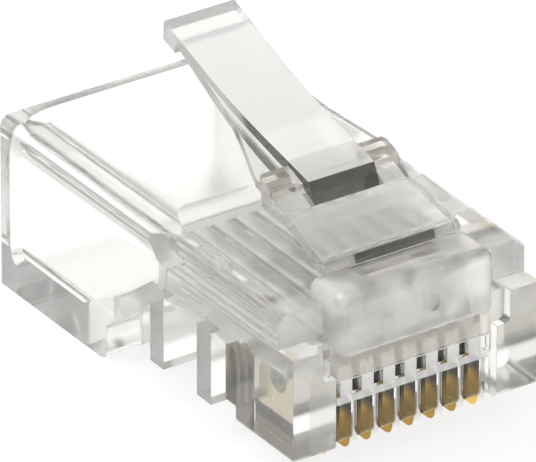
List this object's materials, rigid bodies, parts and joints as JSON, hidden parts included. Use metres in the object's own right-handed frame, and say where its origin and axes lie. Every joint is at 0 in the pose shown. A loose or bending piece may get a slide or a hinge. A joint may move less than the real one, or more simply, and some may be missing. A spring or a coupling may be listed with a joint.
{
  "type": "modular plug",
  "caption": "Clear modular plug for twisted-pair cable, with gold-plated insulation-piercing contacts in a comb and a sprung latch on top, before crimping.",
  "frame": {"origin": "below the middle of the plug's length and width, on the level of the rear block's underside", "axes": "+X across the plug, +Y from the nose to the cable entry, +Z from the contacts' side to the latch"},
  "size_m": [0.0116, 0.0212, 0.0132],
  "materials": {
    "clear_body": "clear polycarbonate, moulded gloss",
    "clear_latch": "clear polycarbonate, moulded gloss",
    "clear_anchor": "clear polycarbonate, moulded gloss",
    "contact_metal": "nickel-plated copper alloy, gold on the contact edge"
  },
  "bodies": {
    "housing": {"housing": "clear_body"},
    "latch": {"latch": "clear_latch"},
    "jacket_anchor": {"jacket_anchor": "clear_anchor"},
    "conductor_anchor": {"conductor_anchor": "clear_anchor"},
    "contact_1": {"contact_1": "contact_metal"},
    "contact_2": {"contact_2": "contact_metal"},
    "contact_3": {"contact_3": "contact_metal"},
    "contact_4": {"contact_4": "contact_metal"},
    "contact_5": {"contact_5": "contact_metal"},
    "contact_6": {"contact_6": "contact_metal"},
    "contact_7": {"contact_7": "contact_metal"},
    "contact_8": {"contact_8": "contact_metal"}
  },
  "joints": [
    {"name": "latch_hinge", "type": "hinge", "parent": "housing", "child": "latch", "pos_m": [0, -0.0085, 0.00859], "axis": [1, 0, 0], "range_deg": [-17.5, 0], "stiffness_Nm_per_rad": 0.2},
    {"name": "jacket_anchor_hinge", "type": "hinge", "parent": "housing", "child": "jacket_anchor", "pos_m": [0, 0.00001, 0.00408], "axis": [1, 0, 0], "range_deg": [0, 35]},
    {"name": "conductor_anchor_hinge", "type": "hinge", "parent": "housing", "child": "conductor_anchor", "pos_m": [0, -0.00298, 0.00412], "axis": [1, 0, 0], "range_deg": [0, 22]},
    {"name": "contact_1_crimp", "type": "slide", "parent": "housing", "child": "contact_1", "axis": [0, 0, 1], "range_m": [0, 0.00065]},
    {"name": "contact_2_crimp", "type": "slide", "parent": "housing", "child": "contact_2", "axis": [0, 0, 1], "range_m": [0, 0.00065]},
    {"name": "contact_3_crimp", "type": "slide", "parent": "housing", "child": "contact_3", "axis": [0, 0, 1], "range_m": [0, 0.00065]},
    {"name": "contact_4_crimp", "type": "slide", "parent": "housing", "child": "contact_4", "axis": [0, 0, 1], "range_m": [0, 0.00065]},
    {"name": "contact_5_crimp", "type": "slide", "parent": "housing", "child": "contact_5", "axis": [0, 0, 1], "range_m": [0, 0.00065]},
    {"name": "contact_6_crimp", "type": "slide", "parent": "housing", "child": "contact_6", "axis": [0, 0, 1], "range_m": [0, 0.00065]},
    {"name": "contact_7_crimp", "type": "slide", "parent": "housing", "child": "contact_7", "axis": [0, 0, 1], "range_m": [0, 0.00065]},
    {"name": "contact_8_crimp", "type": "slide", "parent": "housing", "child": "contact_8", "axis": [0, 0, 1], "range_m": [0, 0.00065]}
  ]
}
